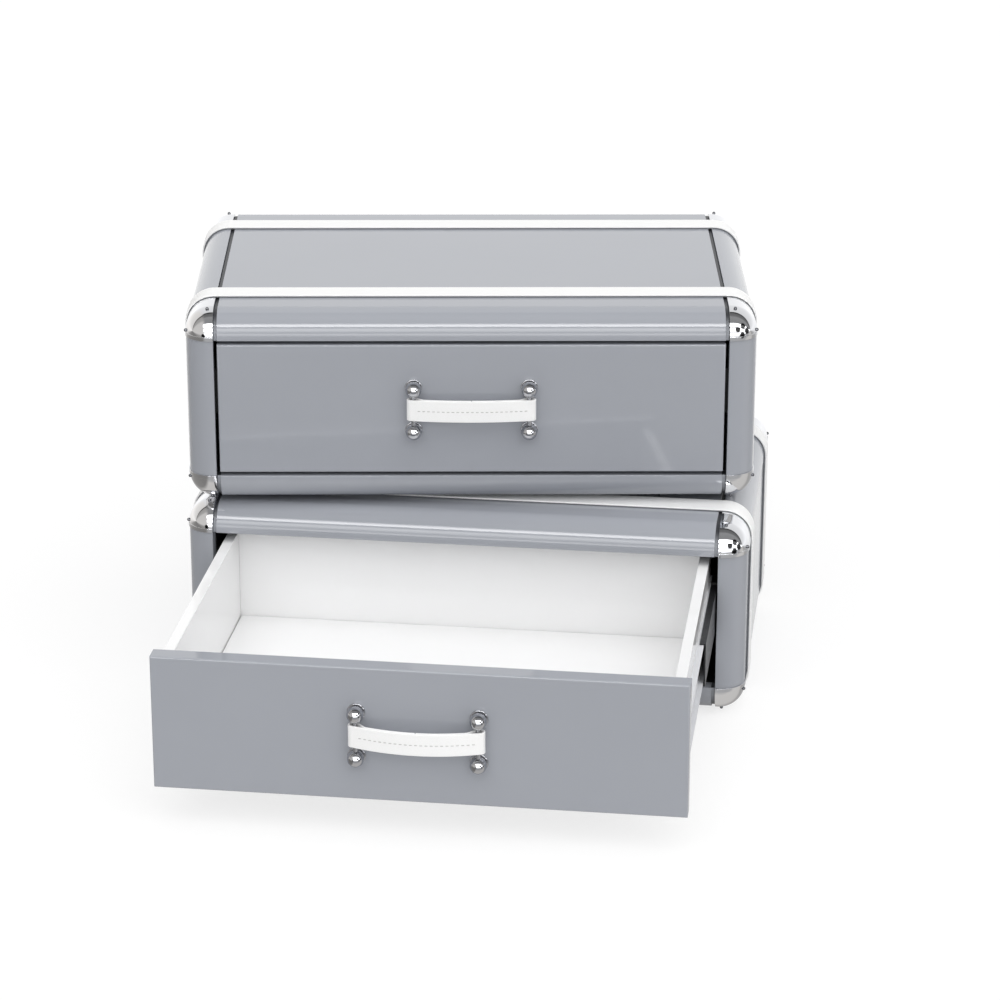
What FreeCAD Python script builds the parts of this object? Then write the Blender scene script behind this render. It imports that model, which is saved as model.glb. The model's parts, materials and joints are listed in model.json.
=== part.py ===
import FreeCAD, Part
import Sketcher
import math
import os
import types

# Two-drawer nightstand made of two trunk-style cases, stacked a little askew.
# Lengths are in millimetres and angles in degrees. The origin is at the centre of the base plate's
# underside, +Z is up, the lower case's front looks towards -Y and its right side is at +X.

sizeTable = [
    # outer form of one case
    ("case_width", 600, "width of each case"),
    ("case_depth", 390, "depth of each case, front face to back face"),
    ("case_height", 210, "height of each case"),
    ("case_gap", 6, "air between the two painted cases"),
    ("edge_radius", 27.5, "radius of the big rounded edges"),
    ("edge_flat", 1.7, "flat left beside a big rounded edge"),
    ("edge_bevel", 0.8, "small rounding where a rail or post meets the drawer opening"),
    # stacking of the two cases
    ("upper_shift_x", -22, "upper case's centre, to the right of the lower one"),
    ("upper_shift_y", 32.5, "upper case's centre, behind the lower one"),
    ("upper_turn_angle", 7.8, "turn of the upper case, anticlockwise from above"),
    # painted boards
    ("panel_thickness", 12, "thickness of the bent boards and the side panels"),
    ("lip_depth", 16, "depth of the front and rear lips and of the post flanges"),
    ("back_thickness", 10, "thickness of the back panel"),
    ("groove_width", 4, "width of the groove beside the side rails"),
    ("groove_depth", 2, "depth of the groove beside the side rails"),
    ("joint_line", 0.4, "hairline between a bent board and a side rail"),
    # black carcass
    ("liner_thickness", 16, "thickness of the top and bottom liners"),
    ("liner_back_thickness", 6, "thickness of the back liner"),
    # chrome corners
    ("corner_proud", 0.7, "how far a chrome corner stands off the painted faces"),
    ("corner_wall", 0.6, "wall of a chrome corner"),
    ("corner_leg_gap", 0.5, "gap between a chrome corner and the belt beside it"),
    ("collar_width", 4.2, "width of the raised collar at a corner's lower end"),
    ("collar_rise", 0.5, "height of the collar above the corner"),
    ("collar_root", 0.4, "how deep the collar is rooted in the corner's wall"),
    ("rivet_lean", 19, "lean of a corner rivet from upright"),
    ("rivet_bearing", 25, "bearing of that lean from the front, towards the side"),
    ("rivet_head_radius", 1.8, "radius of a rivet's head"),
    ("rivet_head_height", 2.4, "height of a rivet's head"),
    ("rivet_shank_radius", 1, "radius of a rivet's shank"),
    ("rivet_fit", 0.25, "clearance round a rivet's shank"),
    # belts
    ("belt_width", 28, "width of each leather belt"),
    ("belt_thickness", 2.8, "thickness of each leather belt"),
    ("belt_inset", 69.5, "middle of each belt, from the case's front or back face"),
    ("belt_seat", 0.1, "gap between a belt and the painted faces"),
    ("belt_end_gap", 10, "gap between a belt's tucked end and the base plate"),
    # drawers
    ("drawer_side_gap", 3.6, "gap beside the drawer front"),
    ("drawer_edge_gap", 4, "gap above and below the drawer front"),
    ("front_thickness", 19, "thickness of the drawer front"),
    ("front_rounding", 2, "rounding of the drawer front's face edges"),
    ("drawer_wall", 11, "thickness of the drawer's sides and back"),
    ("drawer_screw_gap", 5.8, "gap between the drawer bottom and the lower handle screws"),
    ("drawer_top_gap", 13, "gap between the drawer's sides and the top liner"),
    ("drawer_back_gap", 7, "gap between the closed drawer and the back liner"),
    ("drawer_floor_rise", 8, "underside of the drawer bottom above the sides' lower edges"),
    ("drawer_bottom_thickness", 8, "thickness of the drawer bottom"),
    ("lower_reserve", 28, "travel that is left beyond the pulled-out lower drawer"),
    ("upper_open", 0, "how far the upper drawer is pulled out"),
    # runners
    ("runner_thickness", 10.2, "width of the whole runner, from case to drawer"),
    ("runner_height", 50, "height of the fixed runner"),
    ("runner_rise", 62, "centre line of the runners above the lower edge of the drawer's sides"),
    ("runner_back_gap", 3, "gap between the runners and the back liner"),
    ("runner_gauge", 1.2, "steel of the runners"),
    ("runner_play", 0.3, "play between nested runners"),
    ("runner_lip_gap", 1, "gap between a runner's flange tips and the next web"),
    ("runner_setback", 2, "runner's front end behind the drawer front"),
    # handles
    ("handle_lift", 0.3, "middle of the handle above the middle of the case"),
    ("handle_half", 60.8, "bar centre, to each side of the drawer's middle"),
    ("boss_rise", 23.5, "boss centre above and below the handle's middle"),
    ("boss_radius", 8.5, "radius of a ball boss"),
    ("boss_proud", 8, "ball boss and bar centres in front of the drawer front"),
    ("boss_ring_radius", 9.3, "radius of the ring under a boss"),
    ("boss_ring_thickness", 1.6, "thickness of the ring under a boss"),
    ("bar_radius", 2.5, "radius of a handle bar"),
    ("bar_seat", 5, "how deep a bar enters its bosses"),
    ("bar_fit", 0.05, "clearance of a bar in its bosses"),
    ("grip_height", 23, "height of the leather grip"),
    ("grip_lift", 2.2, "middle of the grip above the middle of the handle"),
    ("grip_leather", 2.5, "thickness of one layer of grip leather"),
    ("grip_fit", 0.2, "clearance of the grip round a bar"),
    ("grip_slack", 2, "how far the grip's loop reaches past the bar"),
    ("grip_taper", 14, "length over which the grip's two layers close up"),
    ("lower_grip_bow", 7.5, "outward bow of the lower grip"),
    ("upper_grip_bow", 4, "outward bow of the upper grip"),
    ("screw_radius", 2, "radius of a handle screw"),
    ("screw_fit", 0.15, "clearance of a handle screw in the drawer front"),
    ("screw_thread_fit", 0.05, "clearance of a handle screw in its boss"),
    ("screw_entry", 4, "how deep a handle screw enters its boss"),
    ("screw_head_radius", 4, "radius of a handle screw's head"),
    ("screw_head_height", 2.5, "height of a handle screw's head"),
    ("screw_socket_radius", 1.5, "radius of the socket in the screw's head"),
    ("screw_socket_depth", 1.2, "depth of the socket in the screw's head"),
    # plates and bolts
    ("base_plate_length", 410, "length of the base plate"),
    ("base_plate_width", 330, "width of the base plate"),
    ("base_plate_thickness", 4, "thickness of the base plate"),
    ("joining_plate_length", 400, "length of the plate between the cases"),
    ("joining_plate_gap", 12, "gap between that plate and the lower case's belts"),
    ("bolt_place_x", 180, "bolt to each side of the lower case's centre"),
    ("bolt_place_y", 70, "bolt in front of and behind the lower case's centre"),
    ("bolt_radius", 3, "radius of a bolt"),
    ("bolt_fit", 0.25, "clearance of a bolt in its holes"),
    ("bolt_head_radius", 5.7, "corner radius of a bolt's head and nut"),
    ("bolt_head_height", 4, "height of a bolt's head"),
    ("nut_height", 5, "height of a nut"),
    ("nut_fit", 0.05, "clearance of a nut on its bolt"),
    ("bolt_end", 2, "bolt's end above its nut"),
]


class Measure:
    """A length or angle that knows its number and the formula that gives it."""

    def __init__(self, number, formula):
        self.number = float(number)
        self.formula = formula

    def __add__(self, other):
        other = measure(other)
        return Measure(self.number + other.number, f"({self.formula} + {other.formula})")

    def __sub__(self, other):
        other = measure(other)
        return Measure(self.number - other.number, f"({self.formula} - {other.formula})")

    def __mul__(self, other):
        other = measure(other)
        return Measure(self.number * other.number, f"{self.formula} * {other.formula}")

    def __truediv__(self, other):
        other = measure(other)
        return Measure(self.number / other.number, f"({self.formula} / ({other.formula}))")

    def __neg__(self):
        return Measure(-self.number, f"(0 - {self.formula})")

    def __radd__(self, other):
        return measure(other) + self

    def __rsub__(self, other):
        return measure(other) - self

    def __rmul__(self, other):
        return measure(other) * self


def measure(value):
    """Give a plain number as a Measure, and a Measure as it is."""
    if isinstance(value, Measure):
        return value
    return Measure(value, f"{value:g}" if value >= 0 else f"(0 - {-value:g})")


def sine(angle):
    return Measure(math.sin(math.radians(angle.number)), f"sin({angle.formula})")


def cosine(angle):
    return Measure(math.cos(math.radians(angle.number)), f"cos({angle.formula})")


# The document and its table of sizes
doc = FreeCAD.newDocument("Nightstand")
sheet = doc.addObject("Spreadsheet::Sheet", "Sizes")
size = types.SimpleNamespace()
for row, (alias, value, meaning) in enumerate(sizeTable, 1):
    sheet.set(f"A{row}", meaning)
    sheet.set(f"B{row}", str(value))
    sheet.setAlias(f"B{row}", alias)
    setattr(size, alias, Measure(value, f"Sizes.{alias}"))
doc.recompute()

# Places that many pieces share, in a case's own frame: the origin is at the middle of its painted
# underside and its front looks towards -Y
zero = measure(0)
sideFace = size.case_width / 2
frontFace = -size.case_depth / 2
backFace = size.case_depth / 2
edge = size.edge_radius + size.edge_flat + size.edge_bevel
openSide = sideFace - edge
openLow = edge
openHigh = size.case_height - edge
flangeBack = frontFace + size.lip_depth
linerBack = backFace - size.back_thickness - size.liner_back_thickness
linerFloor = size.panel_thickness + size.liner_thickness
linerCeiling = size.case_height - linerFloor
beltPlace = size.case_depth / 2 - size.belt_inset
beltEnd = size.base_plate_length / 2 + size.belt_end_gap
cornerLeg = -(beltPlace + size.belt_width / 2 + size.corner_leg_gap)
drawerSide = openSide - size.runner_thickness
drawerStart = frontFace + size.front_thickness
drawerEnd = linerBack - size.drawer_back_gap
handleHeight = size.case_height / 2 + size.handle_lift
lowerScrews = handleHeight - size.boss_rise - size.screw_head_radius
drawerFloor = lowerScrews - size.drawer_screw_gap - size.drawer_bottom_thickness
drawerLow = drawerFloor - size.drawer_floor_rise
drawerHigh = linerCeiling - size.drawer_top_gap
runnerFront = drawerStart + size.runner_setback
runnerRear = linerBack - size.runner_back_gap
runnerLength = runnerRear - runnerFront
runnerCentre = drawerLow + size.runner_rise
handleFront = frontFace - size.boss_proud


# Numbers closer than this are the same place
sameLength = 1e-4
sameNumber = 1e-9


# Helpers that draw and place features
def bind(item, name, value):
    """Tie a property to the table of sizes."""
    item.setExpression(name, measure(value).formula)


def newBody(label):
    return doc.addObject("PartDesign::Body", label)


def board(body, name, x, y, z, cut=False):
    """Add a box to a body, or cut one from it. x, y and z each give a low and a high place."""
    kind = "PartDesign::SubtractiveBox" if cut else "PartDesign::AdditiveBox"
    box = body.newObject(kind, name)
    for side, axis, (low, high) in zip(("Length", "Width", "Height"), "xyz", (x, y, z)):
        bind(box, side, high - low)
        bind(box, "Placement.Base." + axis, low)
    return box


def rod(body, name, start, length, radius, forward=False, cut=False):
    """Add or cut a cylinder that runs up from its start, or forward, towards -Y."""
    kind = "PartDesign::SubtractiveCylinder" if cut else "PartDesign::AdditiveCylinder"
    cylinder = body.newObject(kind, name)
    if forward:
        turn = FreeCAD.Rotation(FreeCAD.Vector(1, 0, 0), 90)
        cylinder.Placement = FreeCAD.Placement(FreeCAD.Vector(), turn)
    for axis, place in zip("xyz", start):
        bind(cylinder, "Placement.Base." + axis, place)
    bind(cylinder, "Height", length)
    bind(cylinder, "Radius", radius)
    return cylinder


def onSides(shape, item, sides):
    """Tell whether an edge or face lies on all the named sides of a shape's box, such as x+ or z-."""
    for side in sides.split():
        place = getattr(shape.BoundBox, side[0].upper() + ("Max" if side[1] == "+" else "Min"))
        low = getattr(item.BoundBox, side[0].upper() + "Min")
        high = getattr(item.BoundBox, side[0].upper() + "Max")
        if abs(low - place) > sameLength or abs(high - place) > sameLength:
            return False
    return True


def picked(kind, shape, items, choices):
    """Name the edges or faces of a shape that lie on any of the choices of sides."""
    names = []
    for number, item in enumerate(items, 1):
        if any(onSides(shape, item, sides) for sides in choices):
            names.append(f"{kind}{number}")
    return names


def roundEdges(body, name, radius, choices):
    """Fillet the edges of a body that lie where two sides of its box meet."""
    doc.recompute()
    base = body.Tip
    fillet = body.newObject("PartDesign::Fillet", name)
    fillet.Base = (base, picked("Edge", base.Shape, base.Shape.Edges, choices))
    bind(fillet, "Radius", radius)
    return fillet


def rounded(corners):
    """Turn square corners (x, y, radius or None) into an outline with round ones."""
    points = []
    for index, (x, y, radius) in enumerate(corners):
        if radius is None:
            points.append((x, y))
            continue
        before = corners[index - 1]
        after = corners[(index + 1) % len(corners)]
        cameX = sign(x.number - before[0].number)
        cameY = sign(y.number - before[1].number)
        goesX = sign(after[0].number - x.number)
        goesY = sign(after[1].number - y.number)
        turn = "left" if cameX * goesY - cameY * goesX > 0 else "right"
        points.append((x - radius * cameX, y - radius * cameY, radius, turn))
        points.append((x + radius * goesX, y + radius * goesY))
    return points


def sign(number):
    """Give -1, 0 or 1, and 0 for a number that is nearly nothing."""
    if abs(number) < sameLength:
        return 0
    return 1 if number > 0 else -1


def drawnArc(start, end, radius, turn):
    """Draw the arc of under half a circle between two points, turning left or right."""
    chord = end - start
    middle = (start + end) / 2
    left = FreeCAD.Vector(-chord.y, chord.x, 0).normalize()
    away = math.sqrt(max(radius ** 2 - (chord.Length / 2) ** 2, 0))
    centre = middle + left * (away if turn == "left" else -away)
    angles = [math.atan2(point.y - centre.y, point.x - centre.x) for point in (start, end)]
    if turn == "right":
        angles.reverse()
    circle = Part.Circle(centre, FreeCAD.Vector(0, 0, 1), radius)
    return Part.ArcOfCircle(circle, *angles)


def sketchOn(body, name, plane, outlines, away=zero):
    """Draw closed outlines on a plane of the body, moved along its normal.

    Each point is (x, y), followed by a line, or (x, y, radius, turn), followed by an arc."""
    sketch = body.newObject("Sketcher::SketchObject", name)
    origin = next(item for item in body.Origin.OriginFeatures if item.Role == plane)
    sketch.AttachmentSupport = (origin, [""])
    sketch.MapMode = "FlatFace"
    bind(sketch, "AttachmentOffset.Base.z", away)
    for points in outlines:
        ends = []
        for index, point in enumerate(points):
            following = points[(index + 1) % len(points)]
            start = FreeCAD.Vector(point[0].number, point[1].number, 0)
            end = FreeCAD.Vector(following[0].number, following[1].number, 0)
            if len(point) == 2:
                drawn = sketch.addGeometry(Part.LineSegment(start, end))
                ends.append((drawn, 1, 2))
                continue
            drawn = sketch.addGeometry(drawnArc(start, end, point[2].number, point[3]))
            ends.append((drawn, 1, 2) if point[3] == "left" else (drawn, 2, 1))
            fixed = sketch.addConstraint(Sketcher.Constraint("Radius", drawn, point[2].number))
            sketch.setExpression(f"Constraints[{fixed}]", point[2].formula)
        for index, point in enumerate(points):
            drawn, first, last = ends[index]
            following, nextFirst, nextLast = ends[(index + 1) % len(points)]
            sketch.addConstraint(Sketcher.Constraint("Coincident", drawn, last, following, nextFirst))
            for kind, place in zip(("DistanceX", "DistanceY"), point):
                if abs(place.number) < sameNumber and place.formula == zero.formula:
                    other = -2 if kind == "DistanceX" else -1
                    sketch.addConstraint(Sketcher.Constraint("PointOnObject", drawn, first, other))
                    continue
                fixed = sketch.addConstraint(Sketcher.Constraint(kind, -1, 1, drawn, first, place.number))
                sketch.setExpression(f"Constraints[{fixed}]", place.formula)
    return sketch


def pad(body, name, sketch, length, bothWays=False):
    feature = body.newObject("PartDesign::Pad", name)
    feature.Profile = sketch
    if bothWays:
        feature.SideType = "Symmetric"
    bind(feature, "Length", length)
    return feature


def mirrored(source, axis, place=zero):
    """Mirror a piece across the plane square to an axis at a place."""
    copy = doc.addObject("Part::Mirroring", source.Name + "_mirrored_" + axis)
    copy.Source = source
    copy.Normal = FreeCAD.Vector(*(1 if axis == name else 0 for name in "xyz"))
    bind(copy, "Base." + axis, place)
    return copy


def group(label, members):
    """Hold separate solids together as one sub-part."""
    holder = doc.addObject("Part::Compound", label)
    holder.Links = members
    return holder


def leftAndRight(label, piece):
    return group(label, [piece, mirrored(piece, "x")])


def fourCorners(piece, axis, place=zero):
    """Repeat a piece left and right, and across the plane square to another axis."""
    twin = mirrored(piece, axis, place)
    return [piece, mirrored(piece, "x"), twin, mirrored(twin, "x")]


# Painted boards, rails and posts
def bentProfile(case, level, inset):
    """Side outline of a bent board, drawn for the top and turned over for the bottom."""
    outerTop = size.case_height - inset
    innerTop = size.case_height - size.panel_thickness
    innerRadius = size.edge_radius - size.lip_depth
    front = frontFace + inset
    back = backFace - inset
    corners = [
        (front, openHigh, size.edge_bevel),
        (front, outerTop, size.edge_radius - inset),
        (back, outerTop, size.edge_radius - inset),
        (back, openHigh, None),
        (backFace - size.lip_depth, openHigh, None),
        (backFace - size.lip_depth, innerTop, innerRadius),
        (flangeBack, innerTop, innerRadius),
        (flangeBack, openHigh, None),
    ]
    if level == "bottom":
        corners = [(y, size.case_height - z, radius) for y, z, radius in corners]
    return rounded(corners)


def bentPanel(case, level):
    """Board bent over the case's front and back, with its ends let down to leave a groove."""
    body = newBody(f"{case.name}_{level}_panel")
    face = sketchOn(body, "FaceOutline", "YZ_Plane", [bentProfile(case, level, zero)])
    pad(body, "Face", face, (openSide - size.groove_width) * 2, bothWays=True)
    tongue = sketchOn(body, "TongueOutline", "YZ_Plane", [bentProfile(case, level, size.groove_depth)])
    pad(body, "Tongues", tongue, (openSide - size.joint_line) * 2, bothWays=True)
    low = zero if level == "bottom" else size.case_height - size.panel_thickness
    drillBolts(body, case, level, (low, low + size.panel_thickness))
    return body


def topPanel(case):
    return bentPanel(case, "top")


def bottomPanel(case):
    return bentPanel(case, "bottom")


def backPanel(case):
    body = newBody(f"{case.name}_back_panel")
    side = openSide - size.joint_line
    board(body, "Board", (-side, side), (backFace - size.back_thickness, backFace), (openLow, openHigh))
    return body


def sidePanel(case, name, hand):
    body = newBody(f"{case.name}_{name}_side_panel")
    inner = (sideFace - size.panel_thickness) * hand
    outer = sideFace * hand
    x = (inner, outer) if hand > 0 else (outer, inner)
    board(body, "Board", x, (frontFace + edge, backFace - edge), (openLow, openHigh))
    return body


def leftSidePanel(case):
    return sidePanel(case, "left", -1)


def rightSidePanel(case):
    return sidePanel(case, "right", 1)


def posts(case):
    """Corner posts: a rounded outer edge, a flange beside the drawer and a leg to the side panel."""
    label = f"{case.name}_posts"
    body = newBody(label + "_front_right")
    legInside = sideFace - size.panel_thickness
    corners = [
        (openSide, frontFace, size.edge_bevel),
        (sideFace, frontFace, size.edge_radius),
        (sideFace, frontFace + edge, None),
        (legInside, frontFace + edge, None),
        (legInside, flangeBack, None),
        (openSide, flangeBack, None),
    ]
    outline = sketchOn(body, "PostOutline", "XY_Plane", [rounded(corners)], openLow)
    pad(body, "Post", outline, openHigh - openLow)
    return group(label, fourCorners(body, "y"))


def sideRails(case):
    """Rails along the four side edges, with ball-rounded ends under the chrome corners."""
    label = f"{case.name}_side_rails"
    body = newBody(label + "_top_right")
    board(body, "Bar", (openSide, sideFace), (frontFace, backFace), (openHigh, size.case_height))
    roundEdges(body, "RoundedEdges", size.edge_radius, ["x+ z+", "y- z+", "y- x+", "y+ z+", "y+ x+"])
    return group(label, fourCorners(body, "z", size.case_height / 2))


# Chrome corners and their rivets
ballCentre = (sideFace - size.edge_radius, frontFace + size.edge_radius, size.case_height - size.edge_radius)
cornerOuter = size.edge_radius + size.corner_proud
rivetAcross = sine(size.rivet_lean)
rivetDirection = (
    rivetAcross * sine(size.rivet_bearing),
    -(rivetAcross * cosine(size.rivet_bearing)),
    cosine(size.rivet_lean),
)


def leanLikeRivet(item, reach):
    """Stand an item on the corner's ball at a reach from its centre, leaning as a rivet does."""
    bearing = math.radians(size.rivet_bearing.number)
    axis = FreeCAD.Vector(math.cos(bearing), math.sin(bearing), 0)
    lean = FreeCAD.Rotation(axis, size.rivet_lean.number)
    item.Placement = FreeCAD.Placement(FreeCAD.Vector(), lean)
    bind(item, "Placement.Rotation.Angle", size.rivet_lean)
    for axis, centre, direction in zip("xyz", ballCentre, rivetDirection):
        bind(item, "Placement.Base." + axis, centre + direction * reach)


def acrossCorner(source):
    """Mirror a piece across the corner's slanting middle plane, from the top lobe to the side one."""
    copy = doc.addObject("Part::Mirroring", source.Name + "_side_lobe")
    copy.Source = source
    copy.Normal = FreeCAD.Vector(1, 0, -1)
    for axis, place in zip("xyz", ballCentre):
        bind(copy, "Base." + axis, place)
    return copy


def cornerBlock(label):
    """Outer form of a chrome corner, with a raised collar at its lower end."""
    body = newBody(label + "_block")
    outer = size.corner_proud
    board(
        body,
        "Block",
        (openSide, sideFace + outer),
        (frontFace - outer, cornerLeg),
        (openHigh, size.case_height + outer),
    )
    roundEdges(body, "RoundedEdges", cornerOuter, ["x+ z+", "y- z+", "y- x+"])
    high = size.corner_proud + size.collar_rise
    low = size.corner_proud - size.collar_root
    collar = [
        (openSide, frontFace - high, None),
        (sideFace + high, frontFace - high, size.edge_radius + high),
        (sideFace + high, cornerLeg, None),
        (sideFace + low, cornerLeg, None),
        (sideFace + low, frontFace - low, size.edge_radius + low),
        (openSide, frontFace - low, None),
    ]
    outline = sketchOn(body, "CollarOutline", "XY_Plane", [rounded(collar)], openHigh)
    pad(body, "Collar", outline, size.collar_width)
    return body


def cornerCore(label):
    """Space inside a chrome corner: the rounded case corner and the seat round it."""
    body = newBody(label + "_core")
    seat = size.corner_proud - size.corner_wall
    board(
        body,
        "Core",
        (openSide - edge, sideFace + seat),
        (frontFace - seat, cornerLeg + edge),
        (openHigh - edge, size.case_height + seat),
    )
    roundEdges(body, "RoundedEdges", size.edge_radius + seat, ["x+ z+", "y- z+", "y- x+"])
    return body


def corners(case, name):
    """Four chrome corners with their rivet holes drilled."""
    label = f"{case.name}_{name}_corners"
    drill = doc.addObject("Part::Cylinder", label + "_drill")
    bind(drill, "Radius", size.rivet_shank_radius + size.rivet_fit)
    bind(drill, "Height", size.corner_wall * 3)
    leanLikeRivet(drill, cornerOuter - size.corner_wall * 2)
    cutter = doc.addObject("Part::MultiFuse", label + "_cutter")
    cutter.Shapes = [cornerCore(label), drill, acrossCorner(drill)]
    cut = doc.addObject("Part::Cut", label + "_top_right")
    cut.Base = cornerBlock(label)
    cut.Tool = cutter
    piece = cut if name == "front" else mirrored(cut, "y")
    return group(label, fourCorners(piece, "z", size.case_height / 2))


def frontCorners(case):
    return corners(case, "front")


def rearCorners(case):
    return corners(case, "rear")


def cornerRivets(case):
    """Domed rivets, two in every chrome corner."""
    label = f"{case.name}_corner_rivets"
    body = newBody(label + "_first")
    rim = size.rivet_head_height - size.rivet_head_radius
    rod(body, "Shank", (zero, zero, -size.corner_wall), size.corner_wall, size.rivet_shank_radius)
    rod(body, "HeadRim", (zero, zero, zero), rim, size.rivet_head_radius)
    dome = body.newObject("PartDesign::AdditiveSphere", "Dome")
    bind(dome, "Radius", size.rivet_head_radius)
    bind(dome, "Placement.Base.z", rim)
    dome.Angle1 = 0
    leanLikeRivet(body, cornerOuter)
    members = []
    for lobe in (body, acrossCorner(body)):
        members += fourCorners(lobe, "z", size.case_height / 2)
        members += fourCorners(mirrored(lobe, "y"), "z", size.case_height / 2)
    return group(label, members)


# Leather belts
def belt(case, name, middle):
    """Belt round the case, with both ends tucked underneath."""
    body = newBody(f"{case.name}_{name}_belt")
    seat = size.belt_seat
    skin = size.belt_seat + size.belt_thickness
    inner = size.edge_radius + seat
    outer = size.edge_radius + skin
    shape = [
        (-beltEnd, -skin, None),
        (-(sideFace + skin), -skin, outer),
        (-(sideFace + skin), size.case_height + skin, outer),
        (sideFace + skin, size.case_height + skin, outer),
        (sideFace + skin, -skin, outer),
        (beltEnd, -skin, None),
        (beltEnd, -seat, None),
        (sideFace + seat, -seat, inner),
        (sideFace + seat, size.case_height + seat, inner),
        (-(sideFace + seat), size.case_height + seat, inner),
        (-(sideFace + seat), -seat, inner),
        (-beltEnd, -seat, None),
    ]
    outline = sketchOn(body, "BeltOutline", "XZ_Plane", [rounded(shape)], -middle)
    pad(body, "Strap", outline, size.belt_width, bothWays=True)
    return body


def frontBelt(case):
    return belt(case, "front", -beltPlace)


def rearBelt(case):
    return belt(case, "rear", beltPlace)


# Black carcass
def linerBoard(case, level):
    """Liner under the top panel or on the bottom one, rounded where it fits into the bends."""
    body = newBody(f"{case.name}_liner_{level}")
    low = linerCeiling if level == "top" else size.panel_thickness
    z = (low, low + size.liner_thickness)
    board(body, "Board", (-openSide, openSide), (flangeBack, backFace - size.lip_depth), z)
    side = "z+" if level == "top" else "z-"
    roundEdges(body, "BendSeat", size.edge_radius - size.lip_depth, ["y- " + side, "y+ " + side])
    drillBolts(body, case, level, z)
    return body


def linerTop(case):
    return linerBoard(case, "top")


def linerBottom(case):
    return linerBoard(case, "bottom")


def linerSides(case):
    label = f"{case.name}_liner_sides"
    body = newBody(label + "_right")
    x = (openSide, sideFace - size.panel_thickness)
    board(body, "Board", x, (flangeBack, backFace - size.lip_depth), (openLow, openHigh))
    return leftAndRight(label, body)


def linerBackBoard(case):
    body = newBody(f"{case.name}_liner_back")
    y = (linerBack, linerBack + size.liner_back_thickness)
    board(body, "Board", (-openSide, openSide), y, (openLow, openHigh))
    return body


# Drawer boxes
def drawerFront(case):
    body = newBody(f"{case.name}_drawer_front")
    side = openSide - size.drawer_side_gap
    z = (openLow + size.drawer_edge_gap, openHigh - size.drawer_edge_gap)
    board(body, "Board", (-side, side), (frontFace, drawerStart), z)
    roundEdges(body, "FaceEdges", size.front_rounding, ["y- x+", "y- x-", "y- z+", "y- z-"])
    for x, z in handlePoints():
        hole = size.screw_radius + size.screw_fit
        rod(body, "ScrewHole", (x, drawerStart, z), size.front_thickness, hole, forward=True, cut=True)
    return body


def drawerSidePiece(case, name, hand):
    body = newBody(f"{case.name}_drawer_{name}_side")
    inner = (drawerSide - size.drawer_wall) * hand
    outer = drawerSide * hand
    x = (inner, outer) if hand > 0 else (outer, inner)
    board(body, "Board", x, (drawerStart, drawerEnd), (drawerLow, drawerHigh))
    return body


def drawerLeftSide(case):
    return drawerSidePiece(case, "left", -1)


def drawerRightSide(case):
    return drawerSidePiece(case, "right", 1)


def drawerBack(case):
    body = newBody(f"{case.name}_drawer_back")
    side = drawerSide - size.drawer_wall
    y = (drawerEnd - size.drawer_wall, drawerEnd)
    board(body, "Board", (-side, side), y, (drawerLow, drawerHigh))
    return body


def drawerBottom(case):
    body = newBody(f"{case.name}_drawer_bottom")
    side = drawerSide - size.drawer_wall
    z = (drawerFloor, drawerFloor + size.drawer_bottom_thickness)
    board(body, "Board", (-side, side), (drawerStart, drawerEnd - size.drawer_wall), z)
    return body


# Telescopic runners: three nested channels on each side
def channel(label, web, tips, halfHeight):
    """Steel channel along the drawer: web gives the outer face of its web, tips its flange ends."""
    body = newBody(label + "_right")
    gauge = size.runner_gauge if tips.number > web.number else -size.runner_gauge
    inside = web + gauge
    high = runnerCentre + halfHeight
    low = runnerCentre - halfHeight
    corners = [
        (web, low),
        (tips, low),
        (tips, low + size.runner_gauge),
        (inside, low + size.runner_gauge),
        (inside, high - size.runner_gauge),
        (tips, high - size.runner_gauge),
        (tips, high),
        (web, high),
    ]
    outline = sketchOn(body, "ChannelOutline", "XZ_Plane", [corners], -runnerRear)
    pad(body, "Channel", outline, runnerLength)
    return leftAndRight(label, body)


runnerStep = size.runner_gauge + size.runner_play
flangeTips = drawerSide + size.runner_gauge + size.runner_lip_gap
fixedHalf = size.runner_height / 2


def fixedRunners(case):
    return channel(f"{case.name}_fixed_runners", openSide, flangeTips, fixedHalf)


def middleRunners(case):
    return channel(f"{case.name}_middle_runners", openSide - runnerStep, flangeTips, fixedHalf - runnerStep)


def drawerRunners(case):
    tips = openSide - runnerStep - size.runner_gauge - size.runner_lip_gap
    return channel(f"{case.name}_drawer_runners", drawerSide, tips, fixedHalf - runnerStep * 2)


# Handles
def handlePoints():
    """Places of the four ball bosses on a drawer front, as x and z."""
    points = []
    for x in (size.handle_half, -size.handle_half):
        for rise in (size.boss_rise, -size.boss_rise):
            points.append((x, handleHeight + rise))
    return points


def handleBosses(case):
    """Ball bosses on rings, bored for the bar and the screw."""
    label = f"{case.name}_handle_bosses"
    body = newBody(label + "_top_right")
    x = size.handle_half
    z = handleHeight + size.boss_rise
    rod(body, "Ring", (x, frontFace, z), size.boss_ring_thickness, size.boss_ring_radius, forward=True)
    ball = body.newObject("PartDesign::AdditiveSphere", "Ball")
    bind(ball, "Radius", size.boss_radius)
    for axis, place in zip("xyz", (x, handleFront, z)):
        bind(ball, "Placement.Base." + axis, place)
    r = size.boss_radius
    board(body, "FlatBack", (x - r, x + r), (frontFace, frontFace + r), (z - r, z + r), cut=True)
    barStart = z - size.boss_radius
    barHole = size.bar_seat + size.bar_fit
    rod(body, "BarHole", (x, handleFront, barStart), barHole, size.bar_radius + size.bar_fit, cut=True)
    screwHole = size.screw_radius + size.screw_thread_fit
    depth = size.screw_entry + size.screw_thread_fit
    rod(body, "ScrewHole", (x, frontFace, z), depth, screwHole, forward=True, cut=True)
    return group(label, fourCorners(body, "z", handleHeight))


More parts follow.
